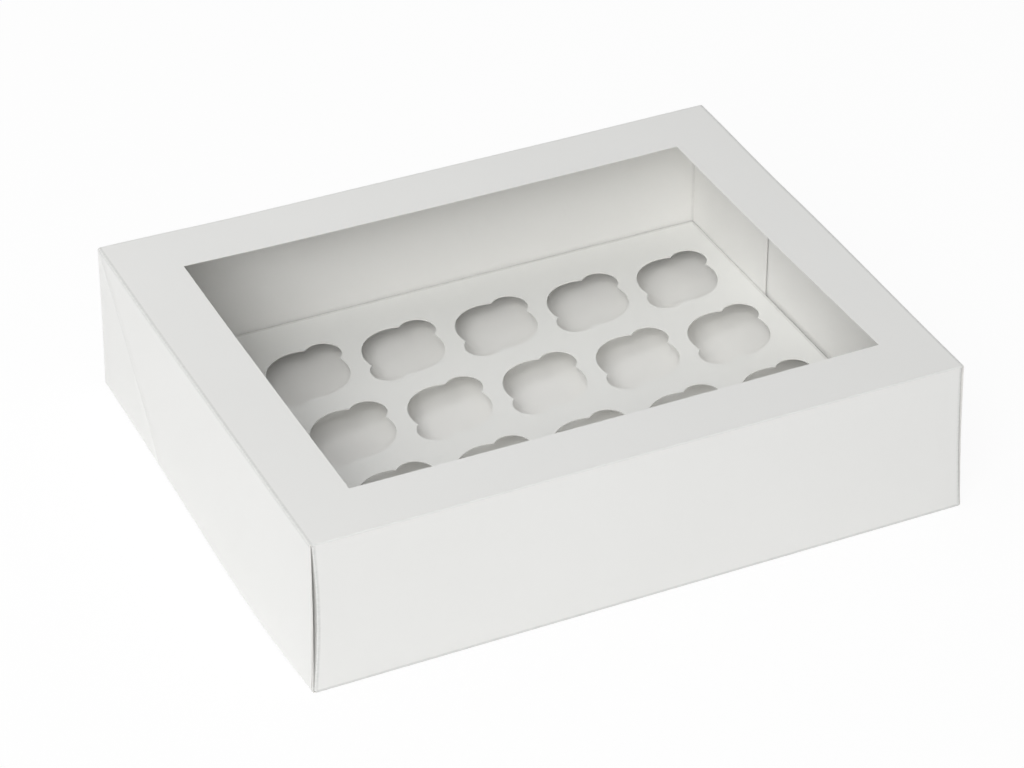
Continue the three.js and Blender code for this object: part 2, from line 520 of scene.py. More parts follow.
@dataclass(frozen=True)
class PaperGrain:
    """The grain that all the board shares: slow cloudiness, and fine fibres that run along the box.

    Attributes:
        cloud_size: How close the clouds are, as a texture scale.
        cloud_detail: How many finer layers they have.
        fibre_size: How fine the fibres are where a material doesn't say, as a texture scale.
        fibre_detail: How many finer layers they have.
        fibre_roughness: How strong those layers are.
        fibre_stretch: How much slower the fibres change along the box than across it.
        speck_fineness: How much finer than the fibres the specks are.
        speck_detail: How many finer layers they have.
        speck_share: How high the specks are, as a share of the fibres' height.
    """

    cloud_size: float = 9.0
    cloud_detail: float = 4
    fibre_size: float = 900.0
    fibre_detail: float = 3
    fibre_roughness: float = 0.6
    fibre_stretch: float = 0.25
    speck_fineness: float = 2.5
    speck_detail: float = 2
    speck_share: float = 0.4

    def build(self) -> bpy.types.NodeTree:
        """Builds the grain's node group.

        Returns:
            A node group with a cloud mask, a fibre mask and a height.
        """
        group = bpy.data.node_groups.new("paper_grain", "ShaderNodeTree")
        for name, value in (("Cloud Size", self.cloud_size), ("Fibre Size", self.fibre_size)):
            socket = group.interface.new_socket(name, in_out="INPUT", socket_type="NodeSocketFloat")
            socket.default_value = value
        for name in ("Cloud", "Fibre", "Height"):
            group.interface.new_socket(name, in_out="OUTPUT", socket_type="NodeSocketFloat")
        nodes = group.nodes
        links = group.links
        given = nodes.new("NodeGroupInput")
        result = nodes.new("NodeGroupOutput")
        place = nodes.new("ShaderNodeTexCoord")
        cloud = nodes.new("ShaderNodeTexNoise")
        cloud.inputs["Detail"].default_value = self.cloud_detail
        links.new(place.outputs["Object"], cloud.inputs["Vector"])
        links.new(given.outputs["Cloud Size"], cloud.inputs["Scale"])
        stretched = nodes.new("ShaderNodeMapping")
        stretched.inputs["Scale"].default_value = (self.fibre_stretch, 1, 1)
        links.new(place.outputs["Object"], stretched.inputs["Vector"])
        fibre = nodes.new("ShaderNodeTexNoise")
        fibre.inputs["Detail"].default_value = self.fibre_detail
        fibre.inputs["Roughness"].default_value = self.fibre_roughness
        links.new(stretched.outputs[0], fibre.inputs["Vector"])
        links.new(given.outputs["Fibre Size"], fibre.inputs["Scale"])
        finer = nodes.new("ShaderNodeMath")
        finer.operation = "MULTIPLY"
        finer.inputs[1].default_value = self.speck_fineness
        links.new(given.outputs["Fibre Size"], finer.inputs[0])
        speck = nodes.new("ShaderNodeTexNoise")
        speck.inputs["Detail"].default_value = self.speck_detail
        links.new(place.outputs["Object"], speck.inputs["Vector"])
        links.new(finer.outputs[0], speck.inputs["Scale"])
        height = nodes.new("ShaderNodeMath")
        height.operation = "MULTIPLY_ADD"
        height.inputs[1].default_value = self.speck_share
        links.new(speck.outputs[0], height.inputs[0])
        links.new(fibre.outputs[0], height.inputs[2])
        links.new(cloud.outputs[0], result.inputs["Cloud"])
        links.new(fibre.outputs[0], result.inputs["Fibre"])
        links.new(height.outputs[0], result.inputs["Height"])
        return group


@dataclass(frozen=True)
class BoardFinish:
    """The look of one face of a board.

    Attributes:
        name: The material's name.
        colour: The board's linear colour.
        shade: The colour that cloudiness takes it to.
        darker_fold_colour: The darker colour that the board is painted along a fold or crease.
        roughness: How matt it is.
        roughness_spread: How much the cloudiness changes that.
        grain_depth: The height of the fibres.
        fibre_size: How fine the fibres are, as a texture scale.
        sheen: The weight of the soft light that loose fibres catch at a low angle.
    """

    name: str
    colour: tuple[float, float, float]
    shade: tuple[float, float, float]
    darker_fold_colour: tuple[float, float, float]
    roughness: float
    roughness_spread: float
    grain_depth: float
    fibre_size: float
    sheen: float = 0.0

    def make(self, grain: bpy.types.NodeTree) -> bpy.types.Material:
        """Builds the material.

        Args:
            grain: The node group that the boards share.

        Returns:
            The material.
        """
        shader = Shader(self.name)
        paper = shader.add("ShaderNodeGroup", node_tree=grain)
        paper.inputs["Fibre Size"].default_value = self.fibre_size
        clouded = shader.mixed(paper.outputs["Cloud"], self.colour, self.shade)
        # Paints the board darker along its folds and creases, where the attribute says, broken up by the
        # fibres.
        darkening = shader.add("ShaderNodeAttribute", attribute_name=FOLD_DARKENING)
        fibred_darkening = shader.add("ShaderNodeMath", operation="MULTIPLY")
        shader.link(darkening.outputs["Fac"], fibred_darkening.inputs[0])
        shader.link(paper.outputs["Fibre"], fibred_darkening.inputs[1])
        coloured = shader.mixed(fibred_darkening.outputs[0], clouded, self.darker_fold_colour)
        shader.link(coloured, shader.bsdf.inputs["Base Color"])
        rough = shader.add("ShaderNodeMapRange")
        rough.inputs["To Min"].default_value = self.roughness - self.roughness_spread
        rough.inputs["To Max"].default_value = self.roughness + self.roughness_spread
        shader.link(paper.outputs["Cloud"], rough.inputs["Value"])
        shader.link(rough.outputs[0], shader.bsdf.inputs["Roughness"])
        bump = shader.add("ShaderNodeBump")
        bump.inputs["Strength"].default_value = 1
        bump.inputs["Distance"].default_value = self.grain_depth
        shader.link(paper.outputs["Height"], bump.inputs["Height"])
        shader.link(bump.outputs[0], shader.bsdf.inputs["Normal"])
        shader.set("Sheen Weight", self.sheen)
        return shader.material


@dataclass(frozen=True)
class FilmFinish:
    """The look of the window's clear film.

    Attributes:
        name: The material's name.
        colour: The film's linear colour.
        alpha: How much of what is behind it the film hides.
        roughness: How blurred its reflections are.
        ripple_depth: The height of its slow ripples.
        ripple_size: How close the ripples are, as a texture scale.
    """

    name: str = "clear_film"
    colour: tuple[float, float, float] = (0.97, 0.98, 0.98)
    alpha: float = 0.02
    roughness: float = 0.12
    ripple_depth: float = 0.3 * MM
    ripple_size: float = 14.0

    def make(self) -> bpy.types.Material:
        """Builds the material.

        Returns:
            The material.
        """
        shader = Shader(self.name)
        shader.set("Base Color", (*self.colour, 1))
        shader.set("Roughness", self.roughness)
        shader.set("Alpha", self.alpha)
        place = shader.add("ShaderNodeTexCoord")
        ripple = shader.add("ShaderNodeTexNoise")
        ripple.inputs["Scale"].default_value = self.ripple_size
        bump = shader.add("ShaderNodeBump")
        bump.inputs["Distance"].default_value = self.ripple_depth
        shader.link(place.outputs["Object"], ripple.inputs["Vector"])
        shader.link(ripple.outputs[0], bump.inputs["Height"])
        shader.link(bump.outputs[0], shader.bsdf.inputs["Normal"])
        return shader.material


# In each finish the third colour is the darker one that the board is painted along its folds and creases.
COATED = BoardFinish(
    name="coated_outside",
    colour=(0.815, 0.815, 0.8),
    shade=(0.795, 0.795, 0.778),
    darker_fold_colour=(0.55, 0.555, 0.54),
    roughness=0.5,
    roughness_spread=0.05,
    grain_depth=0.01 * MM,
    fibre_size=700.0,
)
INSIDE = BoardFinish(
    name="uncoated_inside",
    colour=(0.85, 0.845, 0.822),
    shade=(0.825, 0.82, 0.797),
    darker_fold_colour=(0.66, 0.65, 0.63),
    roughness=0.75,
    roughness_spread=0.06,
    grain_depth=0.02 * MM,
    fibre_size=600.0,
    sheen=0.05,
)
CUT_EDGE = BoardFinish(
    name="cut_edge",
    colour=(0.86, 0.855, 0.835),
    shade=(0.8, 0.79, 0.765),
    darker_fold_colour=(0.78, 0.77, 0.74),
    roughness=0.85,
    roughness_spread=0.05,
    grain_depth=0.03 * MM,
    fibre_size=1500.0,
    sheen=0.1,
)
INSERT_TOP = BoardFinish(
    name="insert_top",
    colour=(0.845, 0.847, 0.825),
    shade=(0.825, 0.827, 0.805),
    darker_fold_colour=(0.68, 0.68, 0.66),
    roughness=0.58,
    roughness_spread=0.05,
    grain_depth=0.015 * MM,
    fibre_size=700.0,
)


@dataclass(frozen=True)
class Board:
    """What the sheets of board have in common.

    Attributes:
        thickness: The board's thickness.
        bend: The outer radius of its folds.
        pitch: The spacing of the lines that let a panel bow.
        margin: How far the darker paint of a fold reaches into the panels beside it.
    """

    thickness: float = 0.5 * MM
    bend: float = 1.0 * MM
    pitch: float = 16 * MM
    margin: float = 1.6 * MM


@dataclass(frozen=True)
class NearCorner:
    """How the board stands out at one near corner of the box.

    Attributes:
        top: How far the folds there stand out at the top. Inwards is negative.
        foot: How far they stand out at the ground.
        slit: How much the near wall's edge draws back from the end skirt at mid height.
        window: How far the window's corner stands out.
        reach: How far along the end this goes.
    """

    top: float
    foot: float
    slit: float
    window: float = 0.0
    reach: float = 220 * MM

    def near_share(self, past_corner: float) -> float:
        """Gives how strongly a point follows the corner.

        Args:
            past_corner: How far from the corner the point is along the end.

        Returns:
            A share from 0 to 1.
        """
        return 1 - ease(ramp(past_corner, 0, self.reach))

    def outward(self, up: float) -> float:
        """Gives how far the folds stand out at a height, as a share from 0 at the ground to 1 at the top."""
        return self.top * up + self.foot * (1 - up) ** 2


@dataclass(frozen=True)
class FarCorner:
    """How the lid stands off its flat-sided form at one far corner.

    Attributes:
        lift: How far the corner rides up.
        out: How far it stands out along the box.
        reach: How far along the end this goes.
    """

    lift: float
    out: float
    reach: float = 120 * MM


NEAR_CORNERS = {
    Side.LEFT: NearCorner(top=0, foot=2.8 * MM, slit=2.2 * MM),
    Side.RIGHT: NearCorner(top=-2.8 * MM, foot=2.5 * MM, slit=0.2 * MM, window=1.8 * MM),
}
FAR_CORNERS = {
    Side.LEFT: FarCorner(lift=1.6 * MM, out=0),
    Side.RIGHT: FarCorner(lift=0.5 * MM, out=1.5 * MM),
}


@dataclass
class Lid:
    """The hinged lid: the panel round the window, its skirts, and the corner flaps inside the end skirts.

    Attributes:
        board: The board that it is made of.
        outside: The lid's extent in the CAD model.
        window: The window's extent.
        flap_inset: From the outer face of an end skirt to the outer face of the flap inside it.
        flap_length: The length of the corner flaps.
        lip: How far the hinge fold turns down below its bend.
        free_edge_reach: How far an end skirt's upright edges reach past the panel.
        sag: How deep the panel would hang in its middle if it had no window.
        flare: How far the foot of each end skirt springs out at its far end.
        foot_bow: How far the foot of each end skirt bows out between its ends.
        crease_depth: How deep the diagonal crease in each end skirt is.
        crease_width: Half the width of that crease, measured upright.
        bent_share: Where the panel starts to follow its ends, as a share of the lid's half length.
        lift_share: Where it starts to rise to its far corners, as the same share.
        end_darkening: How much darker the folds at the lid's ends are painted, from 0 to 1.
        long_darkening: How much darker its long folds are painted.
        crease_darkening: How much darker the diagonal creases are painted.
    """

    board: Board
    outside: Extent
    window: Extent
    flap_inset: float = 0.6 * MM
    flap_length: float = 105 * MM
    lip: float = 0.2 * MM
    free_edge_reach: float = 0.8 * MM
    sag: float = 3 * MM
    flare: float = 1.5 * MM
    foot_bow: dict[Side, float] = field(default_factory=lambda: {Side.LEFT: 3.5 * MM, Side.RIGHT: 1 * MM})
    crease_depth: float = 0.15 * MM
    crease_width: float = 0.9 * MM
    bent_share: float = 0.8
    lift_share: float = 0.5
    end_darkening: float = 1.0
    long_darkening: float = 0.35
    crease_darkening: float = 0.6

    @property
    def flat(self) -> Extent:
        """The flat part of the panel, inside its folds."""
        return self.outside.shrunk(self.board.bend)

    @property
    def turn(self) -> float:
        """The height where the folds end and the skirts begin."""
        return self.outside.high.z - self.board.bend

    @property
    def flap_fold(self) -> float:
        """From the middle of the far skirt to the folds of its corner flaps."""
        return self.outside.high.x - self.flap_inset - self.board.bend

    @property
    def on_end_skirt(self) -> Test:
        """A test for points on the end skirts."""
        return beyond(Axis.X, self.outside.high.x - 2 * self.board.thickness)

    def sagged(self, point: Vector) -> float:
        """Gives how far the panel, or the film under it, hangs at a point.

        Args:
            point: The point.

        Returns:
            How far it hangs.
        """
        low, high = self.outside.low, self.outside.high
        across = hump(ramp(point.x, low.x, high.x))
        along = hump(ramp(point.y, low.y, high.y))
        return self.sag * across * along

    def off_crease(self, point: Vector) -> float:
        """Gives how far above the diagonal crease of an end skirt a point is."""
        high = self.outside.high
        return (point.z - high.z) - (point.y - high.y)

    def darkening(self, point: Vector) -> float:
        """Gives how much darker the board is painted: at its folds, and along the creases.

        Args:
            point: A point of the flat-sided form.

        Returns:
            How much darker it is painted, from 0 to 1.
        """
        high, low = self.outside.high, self.outside.low
        board = self.board
        crease = 1 - ramp(abs(self.off_crease(point)), 0, self.crease_width)
        reach = board.bend + board.margin - NEAR_ENOUGH
        at_top = high.z - point.z < reach
        end_fold = self.end_darkening if at_top and high.x - abs(point.x) < reach else 0.0
        long_fold = self.long_darkening if at_top and min(high.y - point.y, point.y - low.y) < reach else 0.0
        return max(end_fold, long_fold, self.crease_darkening * crease if self.on_end_skirt(point) else 0.0)

    def bent(self, point: Vector) -> Vector:
        """Gives how real board departs from the lid's flat-sided form.

        Args:
            point: A point of that form.

        Returns:
            How far the point moves.
        """
        low, high = self.outside.low, self.outside.high
        bend = self.board.bend
        side = Side.RIGHT if point.x > 0 else Side.LEFT
        drop = ramp(point.z, high.z - bend, low.z)
        corner = NEAR_CORNERS[side]
        near_share = corner.near_share(point.y - low.y)
        end_share = ease(ramp(abs(point.x), self.bent_share * high.x, high.x - 2 * bend))
        bow = self.foot_bow[side] * hump(ramp(point.y, high.y, low.y) ** 2) * drop
        outward = corner.outward(1 - drop) * near_share + self.flare * drop ** 2 * (1 - near_share) + bow
        outward *= end_share
        window_end = side * (self.window.high.x if side is Side.RIGHT else self.window.low.x)
        by_window = hump(ramp(abs(point.x), 2 * window_end - high.x, high.x))
        outward += corner.window * near_share * by_window
        far = FAR_CORNERS[side]
        far_share = 1 - ease(ramp(high.y - point.y, 0, far.reach))
        outward += far.out * far_share * end_share
        lift = far.lift * far_share * ease(ramp(abs(point.x), self.lift_share * high.x, high.x))
        if self.on_end_skirt(point) and drop > 0:
            outward -= self.crease_depth * (1 - ramp(abs(self.off_crease(point)), 0, self.crease_width))
        sag = self.sagged(point) if point.z > high.z - 3 * bend else 0.0
        return Vector((side * outward, 0, lift - sag))

    def build(self, faces: list[bpy.types.Material]) -> bpy.types.Object:
        """Folds the lid.

        Args:
            faces: The materials of its outer face, inner face and cut edges.

        Returns:
            The piece.
        """
        sheet = BoardSheet.panel("lid_board", self.flat.low, self.flat.high, self.outside.high.z)
        self._cut_window(sheet)
        self._fold_skirts(sheet)
        self._fold_corner_flaps(sheet)
        self._score_skirts(sheet)
        sheet.weld(self.outside.centre)
        sheet.mark(FOLD_DARKENING, self.darkening)
        sheet.bend(self.bent)
        return sheet.finish(self.board.thickness, faces)

    def _cut_window(self, sheet: BoardSheet) -> None:
        """Scores the flat panel and cuts the window out of it.

        Args:
            sheet: The sheet.
        """
        flat, window = self.flat, self.window
        pitch, margin = self.board.pitch, self.board.margin
        for axis in (Axis.X, Axis.Y):
            stops = [flat.low[axis], window.low[axis], window.high[axis], flat.high[axis]]
            for start, end in zip(stops, stops[1:]):
                sheet.score_across(axis, spaced(start, end, pitch))
            sheet.score_across(axis, stops[1:3] + [flat.low[axis] + margin, flat.high[axis] - margin])
        for place in (self.flap_fold, self.flap_fold - margin):
            sheet.score_across(Axis.X, [-place, place])
        sheet.cut_out(window.holds)

    def _fold_skirts(self, sheet: BoardSheet) -> None:
        """Folds the end skirts, the hinge's lip and the far skirt down.

        Args:
            sheet: The sheet.
        """
        low, high, flat, turn = self.outside.low, self.outside.high, self.flat, self.turn
        drop = Vector((0, 0, low.z - turn))
        for side in Side:
            edge = side * flat.high.x
            sheet.fold(at(Axis.X, edge), Vector((edge, 0, turn)), Axis.Y.direction, side * QUARTER_TURN)
            sheet.extend(at(Axis.X, side * high.x), drop)
        hinge_edge = every(at(Axis.Y, flat.low.y), at(Axis.Z, high.z))
        sheet.fold(hinge_edge, Vector((0, flat.low.y, turn)), Axis.X.direction, QUARTER_TURN)
        sheet.extend(at(Axis.Y, low.y), Vector((0, 0, -self.lip)))
        between_flaps = within(Axis.X, -self.flap_fold, self.flap_fold)
        far_edge = every(at(Axis.Y, flat.high.y), at(Axis.Z, high.z), between_flaps)
        sheet.fold(far_edge, Vector((0, flat.high.y, turn)), Axis.X.direction, -QUARTER_TURN)
        sheet.extend(at(Axis.Y, high.y), drop)

    def _fold_corner_flaps(self, sheet: BoardSheet) -> None:
        """Folds the far skirt's flaps round the corners, and lengthens the end skirts past the panel.

        Args:
            sheet: The sheet.
        """
        low, high, flat, turn = self.outside.low, self.outside.high, self.flat, self.turn
        bend, flap_fold = self.board.bend, self.flap_fold
        for side in Side:
            corner = side * flap_fold
            upright = every(at(Axis.Y, high.y), at(Axis.X, corner), within(Axis.Z, low.z, turn))
            sheet.fold(upright, Vector((corner, flat.high.y, 0)), Axis.Z.direction, -side * QUARTER_TURN)
            flap_start = every(at(Axis.X, side * (flap_fold + bend)), at(Axis.Y, flat.high.y))
            sheet.extend(flap_start, Vector((0, bend - self.flap_length, 0)))
            for edge, outward in ((flat.low.y, -1), (flat.high.y, 1)):
                upright = every(at(Axis.X, side * high.x), at(Axis.Y, edge), within(Axis.Z, low.z, turn))
                sheet.extend(upright, Vector((0, outward * self.free_edge_reach, 0)))

    def _score_skirts(self, sheet: BoardSheet) -> None:
        """Scores the skirts and flaps so that they can bend, and creases the end skirts.

        Args:
            sheet: The sheet.
        """
        low, high, flat, turn = self.outside.low, self.outside.high, self.flat, self.turn
        pitch, margin = self.board.pitch, self.board.margin
        sheet.score_across(Axis.Z, [turn - margin, *spaced(low.z, turn, pitch)])
        flap_places = [flat.high.y - margin, *spaced(flat.high.y - self.flap_length, flat.high.y, pitch)]
        past_fold = beyond(Axis.X, self.flap_fold)
        on_skirt = self.on_end_skirt
        sheet.score_across(Axis.Y, flap_places, lambda point: past_fold(point) and not on_skirt(point))
        creased = every(on_skirt, within(Axis.Z, low.z, turn))
        for shift in (-self.crease_width, 0.0, self.crease_width):
            sheet.score(Vector((0, high.y, high.z + shift)), Vector((0, 1, -1)).normalized(), creased)


@dataclass
class Tray:
    """The tray: a floor, long walls that go on round the corners as flaps, and end walls outside the flaps.

    Attributes:
        board: The board that it is made of.
        outside: The tray's extent in the CAD model.
        lip_height: Where the near wall's board meets the lid's lip.
        flap_inset: From the outer face of an end wall to the outer face of the flap inside it.
        flap_length: The length of the flaps.
        flap_lift: How high the flaps start above the ground.
        corner_spread: How far the near corners' folds spread, until the end walls touch the lid's skirts.
        wall_spread: How far the end walls follow them.
        spread_length: How far along the end the spreading reaches.
        bulge: How far the near wall bows outwards in its middle.
        foot_lean: How far the near wall's foot leans outwards.
        bent_share: Where the floor and long walls start to follow the ends, as a share of their half length.
    """

    board: Board
    outside: Extent
    lip_height: float
    flap_inset: float = 1.4 * MM
    flap_length: float = 109 * MM
    flap_lift: float = 1.5 * MM
    corner_spread: float = 1.6 * MM
    wall_spread: float = 0.9 * MM
    spread_length: float = 90 * MM
    bulge: float = 0.3 * MM
    foot_lean: float = 2.4 * MM
    bent_share: float = 0.8

    def darkening(self, point: Vector) -> float:
        """Gives how much darker the board is painted, at its folds.

        Args:
            point: A point of the flat-sided form.

        Returns:
            How much darker it is painted, from 0 to 1.
        """
        low, high = self.outside.low, self.outside.high
        reach = self.board.bend + self.board.margin - NEAR_ENOUGH
        corner = high.x - self.flap_inset - abs(point.x) < reach
        end = high.x - abs(point.x) < reach
        long_wall = min(point.y - low.y, high.y - point.y) < reach
        foot = point.z - low.z < reach
        return float((foot and (end or long_wall)) or (corner and long_wall))

    def bent(self, point: Vector) -> Vector:
        """Gives how real board departs from the tray's flat-sided form.

        Args:
            point: A point of that form.

        Returns:
            How far the point moves.
        """
        low, high = self.outside.low, self.outside.high
        side = Side.RIGHT if point.x > 0 else Side.LEFT
        flap_face = high.x - self.flap_inset
        up = ramp(point.z, low.z, high.z)
        corner = NEAR_CORNERS[side]
        past_corner = point.y - low.y
        spread_share = 1 - ease(ramp(past_corner, 0, self.spread_length))
        end_share = ease(ramp(abs(point.x), self.bent_share * high.x, flap_face - self.board.bend))
        outer = ramp(abs(point.x), flap_face, high.x)
        drawn_back = corner.slit * hump(up) * (1 - outer)
        spread = self.corner_spread + (self.wall_spread - self.corner_spread) * outer - drawn_back
        outward = (spread * spread_share + corner.outward(up) * corner.near_share(past_corner)) * end_share
        on_near_wall = point.y < low.y + NEAR_ENOUGH
        bulge = self.bulge * hump(ramp(point.x, low.x, high.x)) * hump(up) if on_near_wall else 0.0
        lean = self.foot_lean * (1 - up) ** 2 * spread_share
        return Vector((side * outward, -bulge - lean, 0))

    def build(self, faces: list[bpy.types.Material]) -> bpy.types.Object:
        """Folds the tray.

        Args:
            faces: The materials of its outer face, inner face and cut edges.

        Returns:
            The piece.
        """
        bend, pitch, margin = self.board.bend, self.board.pitch, self.board.margin
        low, high = self.outside.low, self.outside.high
        flat = self.outside.shrunk(bend)
        turn = low.z + bend
        flap_fold = high.x - self.flap_inset - bend
        sheet = BoardSheet.panel("tray_board", flat.low, flat.high, low.z)
        sheet.score_across(Axis.X, [-flap_fold, flap_fold, *spaced(-flap_fold, flap_fold, pitch)])
        sheet.score_across(Axis.X, [margin - flap_fold, flap_fold - margin])
        sheet.score_across(Axis.Y, spaced(flat.low.y, flat.high.y, pitch))
        for axis in (Axis.X, Axis.Y):
            sheet.score_across(axis, [flat.low[axis] + margin, flat.high[axis] - margin])
        for side in Side:
            edge = side * flat.high.x
            sheet.fold(at(Axis.X, edge), Vector((edge, 0, turn)), Axis.Y.direction, -side * QUARTER_TURN)
            sheet.extend(at(Axis.X, side * high.x), Vector((0, 0, high.z - turn)))
        for edge, wall, top, sign in (
            (flat.low.y, low.y, self.lip_height, -1),
            (flat.high.y, high.y, high.z, 1),
        ):
            rim = every(at(Axis.Y, edge), at(Axis.Z, low.z), within(Axis.X, -flap_fold, flap_fold))
            sheet.fold(rim, Vector((0, edge, turn)), Axis.X.direction, sign * QUARTER_TURN)
            sheet.extend(at(Axis.Y, wall), Vector((0, 0, top - turn)))
            on_wall = at(Axis.Y, wall)
            heights = [self.flap_lift, turn + margin, *spaced(self.flap_lift, top, pitch)]
            sheet.score_across(Axis.Z, heights, on_wall)
            for side in Side:
                corner = side * flap_fold
                upright = every(on_wall, at(Axis.X, corner), within(Axis.Z, self.flap_lift, top))
                turned = sign * side * QUARTER_TURN
                sheet.fold(upright, Vector((corner, edge, 0)), Axis.Z.direction, -turned)
                flap_start = every(at(Axis.X, side * (flap_fold + bend)), at(Axis.Y, edge))
                sheet.extend(flap_start, Vector((0, sign * (bend - self.flap_length), 0)))
        flap_face = flap_fold + bend
        places = [flat.low.y + margin, flat.high.y - margin, *spaced(flat.low.y, flat.high.y, pitch)]
        sheet.score_across(Axis.Y, places, at_both(Axis.X, flap_face))
        sheet.score_across(Axis.Z, [turn + margin, *spaced(turn, high.z, pitch)], at_both(Axis.X, high.x))
        sheet.weld(self.outside.centre)
        sheet.mark(FOLD_DARKENING, self.darkening)
        sheet.bend(self.bent)
        return sheet.finish(self.board.thickness, faces)


@dataclass
class Insert:
    """The insert: a panel with a grid of round holes, and four legs that stand on the tray's floor.

    Attributes:
        board: The board that it is made of.
        outside: The insert's extent in the CAD model.
        columns: How many holes lie along the box.
        rows: How many holes lie across it.
        column_pitch: The distance between holes along the box.
        row_pitch: The distance between them across it.
        hole_radius: The radius of a hole's circle.
        notch_radius: The radius of its finger notches.
        notch_offset: From the hole's centre to a notch's.
        leg_relief: How far the legs stop short of the corners.
        notch_steps: How many edges go round one notch.
        circle_steps: How many edges go round the circle between two notches.
        bow: How far the panel rises or hangs between its legs.
    """

    board: Board
    outside: Extent
    columns: int = 6
    rows: int = 4
    column_pitch: float = 70 * MM
    row_pitch: float = 77 * MM
    hole_radius: float = 28.5 * MM
    notch_radius: float = 13 * MM
    notch_offset: float = 26.3 * MM
    leg_relief: float = 1.5 * MM
    notch_steps: int = 20
    circle_steps: int = 28
    bow: float = 0.4 * MM

    def hole_points(self) -> list[Vector]:
        """Gives a hole's outline about its own centre, from the middle of one notch round to it again.

        Returns:
            The points.
        """
        offset, radius = self.notch_offset, self.hole_radius
        cusp_across = (offset**2 + radius**2 - self.notch_radius**2) / (2 * offset)
        cusp = math.acos(cusp_across / radius)
        notch_turn = math.atan2(radius * math.sin(cusp), cusp_across - offset)
        half = self.notch_steps // 2
        points = []
        for diagonal in (math.pi / 4, 5 * math.pi / 4):
            middle = Vector((math.cos(diagonal), math.sin(diagonal), 0)) * offset
            for step in range(half):
                turn = diagonal + notch_turn * step / half
                points.append(middle + Vector((math.cos(turn), math.sin(turn), 0)) * self.notch_radius)
            for step in range(self.circle_steps):
                turn = diagonal + cusp + (math.pi - 2 * cusp) * step / self.circle_steps
                points.append(Vector((math.cos(turn), math.sin(turn), 0)) * radius)
            middle = -middle
            for step in range(half):
                turn = diagonal + math.pi - notch_turn * (1 - step / half)
                points.append(middle + Vector((math.cos(turn), math.sin(turn), 0)) * self.notch_radius)
        return points

    def cell_points(self, count: int) -> list[Vector]:
        """Gives the outline of the board round one hole, from the corner by its first notch.

        Args:
            count: How many points go round it, the same number on each side.

        Returns:
            The points, about the hole's centre.
        """
        x, y = self.column_pitch / 2, self.row_pitch / 2
        corners = [Vector(corner) for corner in ((x, y, 0), (-x, y, 0), (-x, -y, 0), (x, -y, 0))]
        steps = count // 4
        return [start.lerp(end, i / steps) for start, end in zip(corners, corners[1:] + corners[:1])
                for i in range(steps)]

    def darkening(self, point: Vector) -> float:
        """Gives how much darker the board is painted, at its folds.

        Args:
            point: A point of the flat-sided form.

        Returns:
            How much darker it is painted, from 0 to 1.
        """
        low, high = self.outside.low, self.outside.high
        reach = self.board.bend + self.board.margin - NEAR_ENOUGH
        edge = min(high.x - abs(point.x), point.y - low.y, high.y - point.y)
        return float(edge < reach and high.z - point.z < reach)

    def bent(self, point: Vector) -> Vector:
        """Gives how real board departs from the insert's flat-sided form.

        Args:
            point: A point of that form.

        Returns:
            How far the point moves.
        """
        low, high = self.outside.low, self.outside.high
        if point.z < high.z - NEAR_ENOUGH:
            return Vector((0, 0, 0))
        across = ramp(point.x, low.x, high.x)
        along = ramp(point.y, low.y, high.y)
        return Vector((0, 0, -self.bow * hump(across) * hump(along)))

    def build(self, faces: list[bpy.types.Material]) -> bpy.types.Object:
        """Cuts and folds the insert.

        Args:
            faces: The materials of its outer face, inner face and cut edges.

        Returns:
            The piece.
        """
        bend, margin, relief = self.board.bend, self.board.margin, self.leg_relief
        low, high = self.outside.low, self.outside.high
        flat = self.outside.shrunk(bend)
        hole = self.hole_points()
        sheet = BoardSheet("insert_board", hole)
        sheet.add_ring(self.cell_points(len(hole)))
        sheet.bridge()
        span = Vector(((self.columns - 1) * self.column_pitch, (self.rows - 1) * self.row_pitch, 0))
        first = self.outside.centre - span / 2
        sheet.move_all(Vector((first.x, first.y, high.z)))
        sheet.repeat(self.columns, Axis.X.direction * self.column_pitch)
        sheet.repeat(self.rows, Axis.Y.direction * self.row_pitch)
        for axis, pitch in ((Axis.X, self.column_pitch), (Axis.Y, self.row_pitch)):
            half = span[axis] / 2 + pitch / 2
            middle = self.outside.centre[axis]
            for sign, end in ((-1, flat.low[axis]), (1, flat.high[axis])):
                reach = middle + sign * half
                for place in (end - sign * margin, end - sign * relief, end):
                    sheet.extend(at(axis, reach), axis.direction * (place - reach))
                    reach = place
        drop = Vector((0, 0, low.z - (high.z - bend)))
        turn = high.z - bend
        for axis, other, sign in ((Axis.X, Axis.Y, 1), (Axis.Y, Axis.X, -1)):
            between = within(other, flat.low[other] + relief, flat.high[other] - relief)
            for side, edge, leg in ((-1, flat.low[axis], low[axis]), (1, flat.high[axis], high[axis])):
                centre = axis.direction * edge + Vector((0, 0, turn))
                quarter = sign * side * QUARTER_TURN
                sheet.fold(every(at(axis, edge), between), centre, other.direction, quarter)
                sheet.extend(at(axis, leg), drop)
        sheet.weld(self.outside.centre)
        sheet.mark(FOLD_DARKENING, self.darkening)
        sheet.bend(self.bent)
        return sheet.finish(self.board.thickness, faces)


